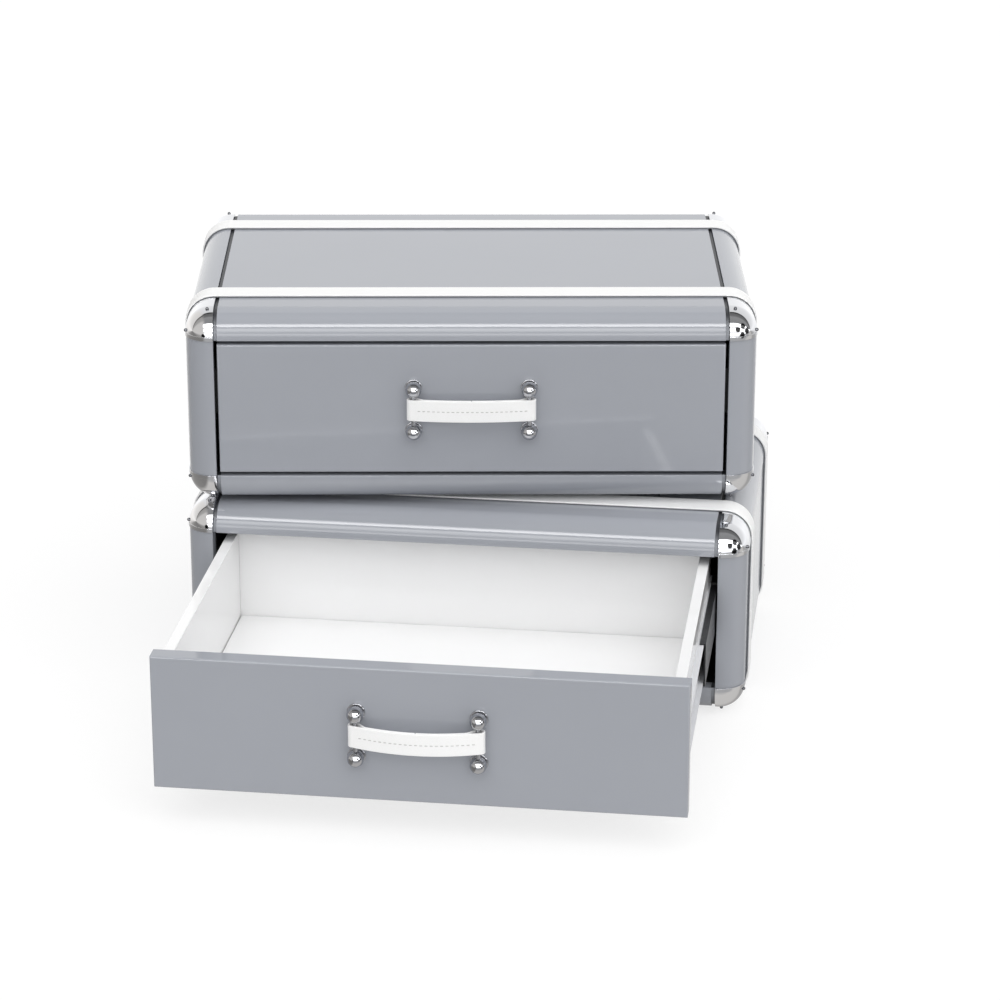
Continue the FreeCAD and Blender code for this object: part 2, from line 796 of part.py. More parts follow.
def handleBars(case):
    """Upright bars that the grip's loops go round."""
    label = f"{case.name}_handle_bars"
    body = newBody(label + "_right")
    half = size.boss_rise - size.boss_radius + size.bar_seat
    rod(body, "Bar", (size.handle_half, handleFront, handleHeight - half), half * 2, size.bar_radius)
    return leftAndRight(label, body)


def handleScrews(case):
    """Screws from inside the drawer into the bosses."""
    label = f"{case.name}_handle_screws"
    body = newBody(label + "_top_right")
    x = size.handle_half
    z = handleHeight + size.boss_rise
    headBack = drawerStart + size.screw_head_height
    length = size.front_thickness + size.screw_entry
    rod(body, "Shank", (x, drawerStart, z), length, size.screw_radius, forward=True)
    rod(body, "Head", (x, headBack, z), size.screw_head_height, size.screw_head_radius, forward=True)
    rod(
        body,
        "Socket",
        (x, headBack, z),
        size.screw_socket_depth,
        size.screw_socket_radius,
        forward=True,
        cut=True,
    )
    return group(label, fourCorners(body, "z", handleHeight))


def handleGrip(case):
    """Bowed leather grip: two layers that open into a loop round each bar."""
    body = newBody(f"{case.name}_handle_grip")
    slot = size.bar_radius + size.grip_fit
    loop = slot + size.grip_leather
    loopMiddle = size.handle_half + size.grip_slack
    closed = loopMiddle - size.grip_taper
    bow = case.gripBow
    backBow = bow * (closed / loopMiddle) * (closed / loopMiddle)
    frontRadius = (loopMiddle * loopMiddle + bow * bow) / (bow * 2)
    backRadius = (closed * closed + backBow * backBow) / (backBow * 2)
    frontEnd = handleFront - loop
    backMiddle = frontEnd - bow + size.grip_leather * 2
    backEnd = backMiddle + backBow
    outline = [
        (-loopMiddle, frontEnd, frontRadius, "left"),
        (loopMiddle, frontEnd, loop, "left"),
        (loopMiddle + loop, handleFront, loop, "left"),
        (loopMiddle, handleFront + loop),
        (size.handle_half, handleFront + loop),
        (closed, backEnd, backRadius, "right"),
        (-closed, backEnd),
        (-size.handle_half, handleFront + loop),
        (-loopMiddle, handleFront + loop, loop, "left"),
        (-(loopMiddle + loop), handleFront, loop, "left"),
    ]
    slots = []
    for hand in (1, -1):
        turn = "right" if hand > 0 else "left"
        bar = size.handle_half * hand
        end = loopMiddle * hand
        slots.append([
            (bar, handleFront + slot),
            (end, handleFront + slot, slot, turn),
            (end + slot * hand, handleFront, slot, turn),
            (end, handleFront - slot),
            (bar, handleFront - slot, slot, turn),
            (bar - slot * hand, handleFront, slot, turn),
        ])
    gripMiddle = handleHeight + size.grip_lift
    sketch = sketchOn(body, "GripOutline", "XY_Plane", [outline] + slots, gripMiddle)
    pad(body, "Grip", sketch, size.grip_height, bothWays=True)
    return body


# Plates and bolts that hold the two cases together
def boltPoints(case):
    """Places of the four stacking bolts in a case's own frame."""
    points = []
    for x in (size.bolt_place_x, -size.bolt_place_x):
        for y in (size.bolt_place_y, -size.bolt_place_y):
            if case.name == "lower":
                points.append((x, y))
                continue
            awayX = x - size.upper_shift_x
            awayY = y - size.upper_shift_y
            turnedX = awayX * cosine(size.upper_turn_angle) + awayY * sine(size.upper_turn_angle)
            turnedY = awayY * cosine(size.upper_turn_angle) - awayX * sine(size.upper_turn_angle)
            points.append((turnedX, turnedY))
    return points


def drillBolts(body, case, level, z):
    """Drill the bolt holes where a case meets the other one."""
    if level != case.joinedSide:
        return
    for x, y in boltPoints(case):
        hole = size.bolt_radius + size.bolt_fit
        rod(body, "BoltHole", (x, y, z[0]), z[1] - z[0], hole, cut=True)


def plate(label, length, width, z):
    body = newBody(label)
    board(body, "Plate", (-length / 2, length / 2), (-width / 2, width / 2), z)
    return body


def prism(body, name, place, radius, height):
    """Hexagonal head or nut, standing on a place."""
    hexagon = body.newObject("PartDesign::AdditivePrism", name)
    hexagon.Polygon = 6
    bind(hexagon, "Circumradius", radius)
    bind(hexagon, "Height", height)
    for axis, value in zip("xyz", place):
        bind(hexagon, "Placement.Base." + axis, value)
    return hexagon


def buildStack():
    """Base plate, joining plate, bolts and nuts, in the part's own frame."""
    lowerTop = size.base_plate_thickness + size.case_height
    upperUnderside = lowerTop + size.case_gap
    base = plate(
        "base_plate",
        size.base_plate_length,
        size.base_plate_width,
        (zero, size.base_plate_thickness),
    )
    joining = plate(
        "joining_plate",
        size.joining_plate_length,
        (beltPlace - size.belt_width / 2 - size.joining_plate_gap) * 2,
        (lowerTop, upperUnderside),
    )
    for x, y in boltPoints(lowerCase):
        hole = size.bolt_radius + size.bolt_fit
        rod(joining, "BoltHole", (x, y, lowerTop), size.case_gap, hole, cut=True)
    headTop = lowerTop - linerFloor
    nutLow = upperUnderside + linerFloor
    x = size.bolt_place_x
    y = size.bolt_place_y
    bolt = newBody("stack_bolts_first")
    length = nutLow + size.nut_height + size.bolt_end - headTop
    rod(bolt, "Shank", (x, y, headTop), length, size.bolt_radius)
    headLow = headTop - size.bolt_head_height
    prism(bolt, "Head", (x, y, headLow), size.bolt_head_radius, size.bolt_head_height)
    nut = newBody("stack_nuts_first")
    prism(nut, "Nut", (x, y, nutLow), size.bolt_head_radius, size.nut_height)
    rod(nut, "Thread", (x, y, nutLow), size.nut_height, size.bolt_radius + size.nut_fit, cut=True)
    return [
        base,
        joining,
        group("stack_bolts", fourCorners(bolt, "y")),
        group("stack_nuts", fourCorners(nut, "y")),
    ]


# The two cases: where each stands, how far its drawer is out and which side is bolted to the other
lowerCase = types.SimpleNamespace(
    name="lower",
    x=zero,
    y=zero,
    z=size.base_plate_thickness,
    turn=zero,
    out=runnerLength - size.lower_reserve,
    gripBow=size.lower_grip_bow,
    joinedSide="top",
)
upperCase = types.SimpleNamespace(
    name="upper",
    x=size.upper_shift_x,
    y=size.upper_shift_y,
    z=size.base_plate_thickness + size.case_height + size.case_gap,
    turn=size.upper_turn_angle,
    out=size.upper_open,
    gripBow=size.upper_grip_bow,
    joinedSide="bottom",
)

fixedPieces = [
    topPanel,
    bottomPanel,
    backPanel,
    leftSidePanel,
    rightSidePanel,
    posts,
    sideRails,
    frontCorners,
    rearCorners,
    cornerRivets,
    frontBelt,
    rearBelt,
    linerTop,
    linerBottom,
    linerSides,
    linerBackBoard,
    fixedRunners,
]
drawerPieces = [
    drawerFront,
    drawerLeftSide,
    drawerRightSide,
    drawerBack,
    drawerBottom,
    drawerRunners,
    handleGrip,
    handleBars,
    handleBosses,
    handleScrews,
]


def place(item, case, out):
    """Stand a piece in its case, pulled out towards the case's front."""
    bind(item, "Placement.Base.x", case.x + out * sine(case.turn))
    bind(item, "Placement.Base.y", case.y - out * cosine(case.turn))
    bind(item, "Placement.Base.z", case.z)
    bind(item, "Placement.Rotation.Angle", case.turn)


def buildCase(case):
    made = []
    for pieces, out in ((fixedPieces, zero), ([middleRunners], case.out / 2), (drawerPieces, case.out)):
        for make in pieces:
            piece = make(case)
            place(piece, case, out)
            made.append(piece)
    return made


subParts = buildCase(lowerCase) + buildCase(upperCase) + buildStack()
doc.recompute()

# Nothing is written unless every object is sound
for item in doc.Objects:
    if "Invalid" in item.State or "Error" in item.State:
        raise RuntimeError(f"{item.Label} failed: {item.State}")
for piece in subParts:
    if piece.Shape.isNull() or not piece.Shape.isValid() or not piece.Shape.Solids:
        raise RuntimeError(f"{piece.Label} has no valid solid")

os.makedirs("parts", exist_ok=True)
for piece in subParts:
    piece.Shape.exportStep(os.path.join("parts", piece.Label + ".step"))
print(f"{len(subParts)} sub-parts, {sum(len(piece.Shape.Solids) for piece in subParts)} solids")
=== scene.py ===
import bpy
import json
import math
from mathutils import Matrix, Vector


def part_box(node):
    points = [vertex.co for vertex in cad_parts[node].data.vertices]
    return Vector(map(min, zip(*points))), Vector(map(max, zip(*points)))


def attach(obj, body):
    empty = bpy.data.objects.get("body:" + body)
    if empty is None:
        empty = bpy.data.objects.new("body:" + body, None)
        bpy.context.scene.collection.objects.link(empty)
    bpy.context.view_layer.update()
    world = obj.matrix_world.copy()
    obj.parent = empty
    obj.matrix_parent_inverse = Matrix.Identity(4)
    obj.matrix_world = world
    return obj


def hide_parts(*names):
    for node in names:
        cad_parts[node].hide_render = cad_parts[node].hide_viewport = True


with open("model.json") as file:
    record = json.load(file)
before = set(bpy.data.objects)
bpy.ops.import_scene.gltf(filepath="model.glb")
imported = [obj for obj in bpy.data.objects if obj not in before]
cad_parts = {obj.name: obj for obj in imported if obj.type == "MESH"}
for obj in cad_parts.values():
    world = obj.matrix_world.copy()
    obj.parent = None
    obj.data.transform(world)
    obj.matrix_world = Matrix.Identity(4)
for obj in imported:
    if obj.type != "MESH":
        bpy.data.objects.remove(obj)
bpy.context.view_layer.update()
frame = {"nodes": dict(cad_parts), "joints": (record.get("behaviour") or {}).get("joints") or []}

# Nightstand of two grey trunk-style drawer cases, stacked askew, with chrome corners and white leather.
# Metres throughout. One case is modelled about its own middle with its front towards -Y, and each
# finished piece is then copied to the lower and the upper case.


# The frame: where each case stands and how far its drawer is out

railLow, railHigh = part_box("lower_side_rails")
halfWidth, halfDepth, halfHeight = (railHigh - railLow) / 2
slideAxis = {joint["name"]: Vector(joint["axis"]) for joint in frame["joints"]}
placement = {}
for case in ("lower", "upper"):
    axis = slideAxis[case + "_drawer_slide"]
    low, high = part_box(case + "_side_rails")
    turned = Matrix.Rotation(math.atan2(axis.x, -axis.y), 4, "Z")
    placement[case] = Matrix.Translation((low + high) / 2) @ turned
pulledOut = {"lower": -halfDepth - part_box("lower_drawer_front")[0].y, "upper": 0.0}

caseForm = {
    "rounding": 0.0275,      # the big rounded edges
    "margin": 0.030,         # painted frame round the drawer opening
    "openingEdge": 0.0008,   # small rounding at the opening
    "board": 0.012,
    "lip": 0.016,            # depth of the bent lips and post flanges
    "back": 0.010,
    "grooveWidth": 0.004,    # groove beside the side rails
    "grooveDepth": 0.002,
    "hairline": 0.0004,      # joint between a bent panel and a rail
    "sharp": 0.0004,         # softening of a lacquered board's edge
    "segments": 24,          # steps round a big rounded edge
    "hiddenSegments": 12,
    "fineSegments": 4,
}
openSide = halfWidth - caseForm["margin"]
openHigh = halfHeight - caseForm["margin"]
tiny = 1e-5       # places closer than this are the same
mostly = 0.5      # a face looks along an axis when more than this share of its normal does


# Hands: add a block, pick faces or edges by place, work on them, finish with modifiers

def activate(piece):
    bpy.ops.object.select_all(action="DESELECT")
    piece.select_set(True)
    bpy.context.view_layer.objects.active = piece


def block(name, low, high):
    bpy.ops.object.select_all(action="DESELECT")
    centre = [(a + b) / 2 for a, b in zip(low, high)]
    bpy.ops.mesh.primitive_cube_add(size=1, location=centre, scale=[b - a for a, b in zip(low, high)])
    piece = bpy.context.object
    piece.name = name
    bpy.ops.object.transform_apply(location=True, rotation=True, scale=True)
    return piece


def at(place, **wanted):
    return all(abs(getattr(place, axis) - value) < tiny for axis, value in wanted.items())


# test gets an edge's middle, or a face's middle and normal
def pick(piece, kind, test):
    activate(piece)
    bpy.ops.object.mode_set(mode="EDIT")
    bpy.ops.mesh.select_mode(type=kind)
    bpy.ops.mesh.select_all(action="DESELECT")
    bpy.ops.object.mode_set(mode="OBJECT")
    mesh = piece.data
    if kind == "FACE":
        for face in mesh.polygons:
            face.select = bool(test(face.center, face.normal))
    else:
        for edge in mesh.edges:
            ends = [mesh.vertices[i].co for i in edge.vertices]
            edge.select = bool(test((ends[0] + ends[1]) / 2))
    bpy.ops.object.mode_set(mode="EDIT")


def done():
    bpy.ops.object.mode_set(mode="OBJECT")


def roundEdges(piece, radius, test, segments=caseForm["segments"]):
    pick(piece, "EDGE", test)
    bpy.ops.mesh.bevel(
        offset=radius, offset_type="OFFSET", segments=segments, profile=0.5, clamp_overlap=False
    )
    done()


def cutLine(piece, point, normal):
    pick(piece, "FACE", lambda middle, facing: True)
    bpy.ops.mesh.bisect(plane_co=point, plane_no=normal)
    done()


def swell(piece, height, test):
    pick(piece, "FACE", test)
    bpy.ops.mesh.extrude_region_shrink_fatten(
        TRANSFORM_OT_shrink_fatten={"value": height, "use_even_offset": True}
    )
    done()


def applyModifier(piece, kind, **settings):
    modifier = piece.modifiers.new(kind.title(), kind)
    for name, value in settings.items():
        setattr(modifier, name, value)
    activate(piece)
    bpy.ops.object.modifier_apply(modifier=modifier.name)


def cutAway(piece, cutter):
    applyModifier(piece, "BOOLEAN", operation="DIFFERENCE", object=cutter, solver="EXACT")
    bpy.data.objects.remove(cutter)


def faceOutwards(piece):
    pick(piece, "FACE", lambda middle, facing: True)
    bpy.ops.mesh.remove_doubles(threshold=tiny / 10)
    bpy.ops.mesh.normals_make_consistent(inside=False)
    done()


def repeatMirrored(piece, axes):
    applyModifier(piece, "MIRROR", use_axis=[name in axes for name in "xyz"], use_mirror_merge=False)
    faceOutwards(piece)


def turnedOver(piece, name, axis):
    activate(piece)
    bpy.ops.object.duplicate()
    copy = bpy.context.object
    copy.name = name
    copy.data.transform(Matrix.Scale(-1, 4, [1 if axis == other else 0 for other in "xyz"]))
    faceOutwards(copy)
    return copy


softening = {"sharperThan": math.radians(35), "smoothBelow": math.radians(50), "faceWeight": 60}


def soften(piece, width=caseForm["sharp"], segments=2):
    applyModifier(
        piece, "BEVEL", width=width, segments=segments, limit_method="ANGLE",
        angle_limit=softening["sharperThan"],
    )
    activate(piece)
    bpy.ops.object.shade_smooth_by_angle(angle=softening["smoothBelow"])
    applyModifier(piece, "WEIGHTED_NORMAL", keep_sharp=True, weight=softening["faceWeight"])


# Outline spun into a solid about an axis: profile is radius and height along it
def lathe(name, profile, centre, axis, steps=48):
    side = Vector((1, 0, 0))
    points = [Vector(centre) + side * radius + Vector(axis) * height for radius, height in profile]
    bpy.ops.object.select_all(action="DESELECT")
    bpy.ops.mesh.primitive_plane_add(size=0.001, location=points[0])
    piece = bpy.context.object
    piece.name = name
    bpy.ops.object.transform_apply(location=True, rotation=True, scale=True)
    bpy.ops.object.mode_set(mode="EDIT")
    bpy.ops.mesh.select_mode(type="VERT")
    bpy.ops.mesh.select_all(action="SELECT")
    bpy.ops.mesh.merge(type="CENTER")
    for start, end in zip(points, points[1:]):
        bpy.ops.mesh.extrude_region_move(TRANSFORM_OT_translate={"value": end - start})
    bpy.ops.mesh.select_all(action="SELECT")
    bpy.ops.mesh.spin(steps=steps, angle=math.tau, center=centre, axis=axis)
    done()
    faceOutwards(piece)
    return piece


# Upright band of a width, drawn out along a line of points
def ribbon(name, points, width, rows=6):
    bpy.ops.object.select_all(action="DESELECT")
    bpy.ops.mesh.primitive_grid_add(x_subdivisions=1, y_subdivisions=rows, size=1)
    piece = bpy.context.object
    piece.name = name
    ends = []
    for vertex in piece.data.vertices:
        ahead = vertex.co.x > 0
        ends.append(ahead)
        vertex.co = Vector(points[1] if ahead else points[0]) + Vector((0, 0, vertex.co.y * width))
    bpy.ops.object.mode_set(mode="EDIT")
    bpy.ops.mesh.select_mode(type="VERT")
    bpy.ops.mesh.select_all(action="DESELECT")
    done()
    for vertex, ahead in zip(piece.data.vertices, ends):
        vertex.select = ahead
    bpy.ops.object.mode_set(mode="EDIT")
    bpy.ops.mesh.select_mode(type="EDGE")
    for start, end in zip(points[1:], points[2:]):
        bpy.ops.mesh.extrude_region_move(TRANSFORM_OT_translate={"value": Vector(end) - Vector(start)})
    done()
    return piece


def join(name, pieces):
    bpy.ops.object.select_all(action="DESELECT")
    for piece in pieces:
        piece.select_set(True)
    bpy.context.view_layer.objects.active = pieces[0]
    bpy.ops.object.join()
    pieces[0].name = name
    return pieces[0]


# Copy a finished piece to one case or both, in its finishes, on what carries it
def fit(model, part, finishes, carrier="cabinet", cases=("lower", "upper"), node=None):
    for case in cases:
        piece = model.copy()
        piece.data = model.data.copy()
        bpy.context.scene.collection.objects.link(piece)
        words = part.split("_")
        piece.name = case + "".join(word.title() for word in words)
        out = pulledOut[case] if carrier == "drawer" else 0
        piece.data.transform(placement[case] @ Matrix.Translation((0, -out, 0)))
        for finish in finishes:
            piece.data.materials.append(finish)
        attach(piece, "cabinet" if carrier == "cabinet" else case + "_drawer")
        if node is not False:
            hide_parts(f"{case}_{part}")
    bpy.data.objects.remove(model)


# Materials

def hexColour(code):
    parts = [int(code[i:i + 2], 16) / 255 for i in (1, 3, 5)]
    return [c / 12.92 if c <= 0.04045 else ((c + 0.055) / 1.055) ** 2.4 for c in parts] + [1.0]


def addNode(tree, kind, settings=None, **sockets):
    node = tree.nodes.new(kind)
    for name, value in (settings or {}).items():
        setattr(node, name, value)
    for name, value in sockets.items():
        index = name.replace("_", " ")
        socket = node.inputs[int(index[6:])] if index.startswith("socket") else node.inputs[index]
        if isinstance(value, bpy.types.NodeSocket):
            tree.links.new(value, socket)
        else:
            socket.default_value = value
    return node


def startMaterial(name, **sockets):
    material = bpy.data.materials.new(name)
    material.use_nodes = True
    tree = material.node_tree
    tree.nodes.clear()
    shader = addNode(tree, "ShaderNodeBsdfPrincipled", **sockets)
    addNode(tree, "ShaderNodeOutputMaterial", Surface=shader.outputs[0])
    return material, tree, shader, addNode(tree, "ShaderNodeTexCoord").outputs["Object"]


# High-gloss polyester lacquer, sprayed and polished: a clear mirror gloss over one plain colour, with a
# trace of orange peel 6 mm across and polishing haze 80 mm across
lacquerLook = {
    "grey": ("#a2a5ac", "#a5a8af"),
    "white": ("#fafafa", "#fbfbfb"),
    "peel": 0.006,
    "peelDepth": 0.00003,
    "peelStrength": 0.15,
    "haze": 0.080,
    "polish": (0.035, 0.075),    # roughness from the best polished spots to the haziest
}


def lacquer(name, colour, light):
    material, tree, shader, place = startMaterial(name, IOR=1.5)
    peel = addNode(tree, "ShaderNodeTexNoise", Vector=place, Scale=1 / lacquerLook["peel"], Detail=1.0)
    haze = addNode(tree, "ShaderNodeTexNoise", Vector=place, Scale=1 / lacquerLook["haze"], Detail=3.0)
    best, worst = lacquerLook["polish"]
    gloss = addNode(tree, "ShaderNodeMapRange", Value=haze.outputs["Fac"], To_Min=best, To_Max=worst)
    tint = addNode(tree, "ShaderNodeMix", {"data_type": "RGBA"}, Factor=haze.outputs["Fac"])
    tint.inputs[6].default_value = hexColour(colour)
    tint.inputs[7].default_value = hexColour(light)
    bump = addNode(
        tree, "ShaderNodeBump", Height=peel.outputs["Fac"], Strength=lacquerLook["peelStrength"],
        Distance=lacquerLook["peelDepth"],
    )
    tree.links.new(tint.outputs[2], shader.inputs["Base Color"])
    tree.links.new(gloss.outputs[0], shader.inputs["Roughness"])
    tree.links.new(bump.outputs[0], shader.inputs["Normal"])
    return material


# Groove beside the rails: the same lacquer unpolished, its colour darkened by painted shade, a little
# where it stands upright and most where it lies flat and runs under the belts
grooveLook = {
    # Both tones are painted shade, darker than the lacquer; the flat one stands for the shadow deep in
    # the groove
    "steep": "#96999f",
    "flat": "#35373b",
    "steepest": 0.25,        # upright share of the normal where the painted shade starts to deepen
    "flattest": 0.85,        # and where it is darkest
    "roughness": 0.45,
}


def groove():
    material, tree, shader, _ = startMaterial("grooveLacquer", Roughness=grooveLook["roughness"])
    normal = addNode(tree, "ShaderNodeNewGeometry").outputs["Normal"]
    upright = addNode(tree, "ShaderNodeSeparateXYZ", Vector=normal).outputs["Z"]
    lying = addNode(tree, "ShaderNodeMath", {"operation": "ABSOLUTE"}, socket0=upright)
    share = addNode(
        tree, "ShaderNodeMapRange", Value=lying.outputs[0], From_Min=grooveLook["steepest"],
        From_Max=grooveLook["flattest"],
    )
    tint = addNode(tree, "ShaderNodeMix", {"data_type": "RGBA"}, Factor=share.outputs[0])
    tint.inputs[6].default_value = hexColour(grooveLook["steep"])
    tint.inputs[7].default_value = hexColour(grooveLook["flat"])
    tree.links.new(tint.outputs[2], shader.inputs["Base Color"])
    return material


# Polished chrome plate on brass: a near mirror, a little blurred by fine polishing marks. The handles get
# a darker copy of it, painted shade on their reflections
chromeLook = {"corners": "#dcdde0", "handles": "#bcbdc1", "marks": 0.0012, "polish": (0.02, 0.09)}


def chrome(name, colour):
    material, tree, shader, place = startMaterial(name, Base_Color=hexColour(colour), Metallic=1.0)
    marks = addNode(tree, "ShaderNodeTexNoise", Vector=place, Scale=1 / chromeLook["marks"], Detail=4.0)
    best, worst = chromeLook["polish"]
    gloss = addNode(tree, "ShaderNodeMapRange", Value=marks.outputs["Fac"], To_Min=best, To_Max=worst)
    tree.links.new(gloss.outputs[0], shader.inputs["Roughness"])
    return material


# White coated leather: soft sheen, pressed grain of cells about 1 mm across with painted shade a touch
# darker in their valleys, faint creases 9 mm apart
leatherLook = {
    "colour": "#fdfdfd",
    # painted shade: the grain's valleys a touch darker than its tops
    "valley": "#f8f8f7",
    "roughness": 0.42,
    "grain": 0.0011,
    "valleyWidth": 0.25,     # share of a cell that its valley takes
    "crease": 0.009,
    "creaseShare": 0.8,      # height of the creases beside the grain's
    "depth": 0.00006,
    "strength": 0.25,
}


def leather():
    material, tree, shader, place = startMaterial(
        "whiteLeather", IOR=1.46, Roughness=leatherLook["roughness"]
    )
    cells = addNode(
        tree, "ShaderNodeTexVoronoi", {"feature": "DISTANCE_TO_EDGE"}, Vector=place,
        Scale=1 / leatherLook["grain"],
    )
    creases = addNode(
        tree, "ShaderNodeTexNoise", Vector=place, Scale=1 / leatherLook["crease"], Detail=4.0
    )
    rise = addNode(
        tree, "ShaderNodeMapRange", Value=cells.outputs["Distance"], From_Max=leatherLook["valleyWidth"]
    )
    height = addNode(
        tree, "ShaderNodeMath", {"operation": "MULTIPLY_ADD"}, socket0=creases.outputs["Fac"],
        socket1=leatherLook["creaseShare"], socket2=rise.outputs[0],
    )
    bump = addNode(
        tree, "ShaderNodeBump", Height=height.outputs[0], Strength=leatherLook["strength"],
        Distance=leatherLook["depth"],
    )
    # painted shade in the grain's valleys
    tint = addNode(tree, "ShaderNodeMix", {"data_type": "RGBA"}, Factor=rise.outputs[0])
    tint.inputs[6].default_value = hexColour(leatherLook["valley"])
    tint.inputs[7].default_value = hexColour(leatherLook["colour"])
    tree.links.new(tint.outputs[2], shader.inputs["Base Color"])
    tree.links.new(bump.outputs[0], shader.inputs["Normal"])
    return material


# Grey strip under the belts' white leather, painted shade: it shows at the belts' edges as their contact
# shadow; matt, with a nap of 0.4 mm
shadeLayerLook = {"colour": "#74767a", "roughness": 0.85, "nap": 0.0004, "depth": 0.0001, "strength": 0.3}


def backing():
    material, tree, shader, place = startMaterial(
        "beltBacking", Base_Color=hexColour(shadeLayerLook["colour"]), Roughness=shadeLayerLook["roughness"]
    )
    nap = addNode(tree, "ShaderNodeTexNoise", Vector=place, Scale=1 / shadeLayerLook["nap"], Detail=2.0)
    bump = addNode(
        tree, "ShaderNodeBump", Height=nap.outputs["Fac"], Strength=shadeLayerLook["strength"],
        Distance=shadeLayerLook["depth"],
    )
    tree.links.new(bump.outputs[0], shader.inputs["Normal"])
    return material


# Waxed polyester thread, 0.8 mm thick: satin, a little uneven along each stitch, and grey as painted
# shade of the stitch holes
threadLook = {"colour": "#bcbbb9", "roughness": 0.55, "wave": 0.0088, "depth": 0.0001, "strength": 0.5}
diagonalWave = math.tau / 10     # length of one wave of the diagonal bands at scale 1


def thread():
    material, tree, shader, place = startMaterial(
        "waxedThread", Base_Color=hexColour(threadLook["colour"]), Roughness=threadLook["roughness"]
    )
    wave = addNode(
        tree, "ShaderNodeTexWave", {"bands_direction": "DIAGONAL"}, Vector=place,
        Scale=diagonalWave / threadLook["wave"],
    )
    bump = addNode(
        tree, "ShaderNodeBump", Height=wave.outputs["Fac"], Strength=threadLook["strength"],
        Distance=threadLook["depth"],
    )
    tree.links.new(bump.outputs[0], shader.inputs["Normal"])
    return material


# Matt black painted board: no gloss, a fine sanded tooth of 0.5 mm
boardLook = {"colour": "#0c0c0d", "tooth": 0.0005, "matt": (0.55, 0.75), "depth": 0.0001, "strength": 0.3}


def blackBoard():
    material, tree, shader, place = startMaterial(
        "mattBlackBoard", Base_Color=hexColour(boardLook["colour"])
    )
    tooth = addNode(tree, "ShaderNodeTexNoise", Vector=place, Scale=1 / boardLook["tooth"], Detail=2.0)
    least, most = boardLook["matt"]
    gloss = addNode(tree, "ShaderNodeMapRange", Value=tooth.outputs["Fac"], To_Min=least, To_Max=most)
    bump = addNode(
        tree, "ShaderNodeBump", Height=tooth.outputs["Fac"], Strength=boardLook["strength"],
        Distance=boardLook["depth"],
    )
    tree.links.new(gloss.outputs[0], shader.inputs["Roughness"])
    tree.links.new(bump.outputs[0], shader.inputs["Normal"])
    return material


# Steel with a finish: zinc plate shows soft spangles 5 mm across, black and white coats a satin gloss,
# and the rivets are dark nickel
steelLook = {
    "zinc": "#a8abb0", "black": "#17181a", "white": "#dfe0e3", "nickel": "#6d6e72",
    "spangle": 0.005,
    "unevenness": 0.06,      # how much the roughness changes over a spangle
}


def steel(name, colour, metallic, roughness):
    material, tree, shader, place = startMaterial(name, Base_Color=hexColour(colour), Metallic=metallic)
    spangle = addNode(tree, "ShaderNodeTexVoronoi", Vector=place, Scale=1 / steelLook["spangle"])
    gloss = addNode(
        tree, "ShaderNodeMapRange", Value=spangle.outputs["Distance"],
        To_Min=roughness - steelLook["unevenness"], To_Max=roughness + steelLook["unevenness"],
    )
    tree.links.new(gloss.outputs[0], shader.inputs["Roughness"])
    return material


greyLacquer = lacquer("greyGlossLacquer", *lacquerLook["grey"])
whiteLacquer = lacquer("whiteGlossLacquer", *lacquerLook["white"])
grooveShade = groove()
chromePlate = chrome("polishedChrome", chromeLook["corners"])
# darker copy for the handles: painted shade
handleChromeShaded = chrome("handleChromeShaded", chromeLook["handles"])
whiteLeather = leather()
shadedThread = thread()
mattBlack = blackBoard()
zincSteel = steel("zincPlatedSteel", steelLook["zinc"], metallic=1.0, roughness=0.32)
blackSteel = steel("blackSteel", steelLook["black"], metallic=0.0, roughness=0.35)
whiteSteel = steel("whiteSteel", steelLook["white"], metallic=0.0, roughness=0.35)
darkNickel = steel("darkNickel", steelLook["nickel"], metallic=1.0, roughness=0.25)
# grey strip under the belts, painted shade along their edges
beltBacking = backing()

nodeFinish = {
    "corner_rivets": darkNickel,
    "liner_top": mattBlack,
    "liner_bottom": mattBlack,
    "liner_sides": mattBlack,
    "liner_back": mattBlack,
    "fixed_runners": blackSteel,
    "middle_runners": blackSteel,
    "drawer_runners": whiteSteel,
    "handle_screws": zincSteel,
    "base_plate": mattBlack,
    "joining_plate": mattBlack,
    "stack_bolts": zincSteel,
    "stack_nuts": zincSteel,
}
for name, node in frame["nodes"].items():
    finish = nodeFinish.get(name) or nodeFinish.get(name.split("_", 1)[1]) or greyLacquer
    node.data.materials.clear()
    node.data.materials.append(finish)
print("materials made")


# Painted panels bent over the front and back edges

panelLow = openHigh
tongueTop = halfHeight - caseForm["grooveDepth"]
tongueFront = halfDepth - caseForm["grooveDepth"]
tongueSide = openSide - caseForm["hairline"]
panel = block("bentPanel", (-tongueSide, -tongueFront, panelLow), (tongueSide, tongueFront, tongueTop))
roundEdges(
    panel,
    caseForm["rounding"] - caseForm["grooveDepth"],
    lambda middle: at(middle, z=tongueTop) and abs(abs(middle.y) - tongueFront) < tiny,
)
faceEnd = openSide - caseForm["grooveWidth"]
for side in (-faceEnd, faceEnd):
    cutLine(panel, (side, 0, 0), (1, 0, 0))
swell(
    panel,
    caseForm["grooveDepth"],
    lambda middle, facing: abs(middle.x) < faceEnd and facing.z > -mostly and abs(facing.x) < mostly,
)
roundEdges(
    panel,
    caseForm["openingEdge"],
    lambda middle: at(middle, y=-halfDepth, z=panelLow),
    caseForm["fineSegments"],
)
hollow = block(
    "hollow",
    (-halfWidth, -halfDepth + caseForm["lip"], 0),
    (halfWidth, halfDepth - caseForm["lip"], halfHeight - caseForm["board"]),
)
hollowTop = halfHeight - caseForm["board"]
roundEdges(
    hollow,
    caseForm["rounding"] - caseForm["lip"],
    lambda middle: at(middle, z=hollowTop) and abs(middle.y) > halfDepth - caseForm["lip"] - tiny,
    caseForm["hiddenSegments"],
)
cutAway(panel, hollow)
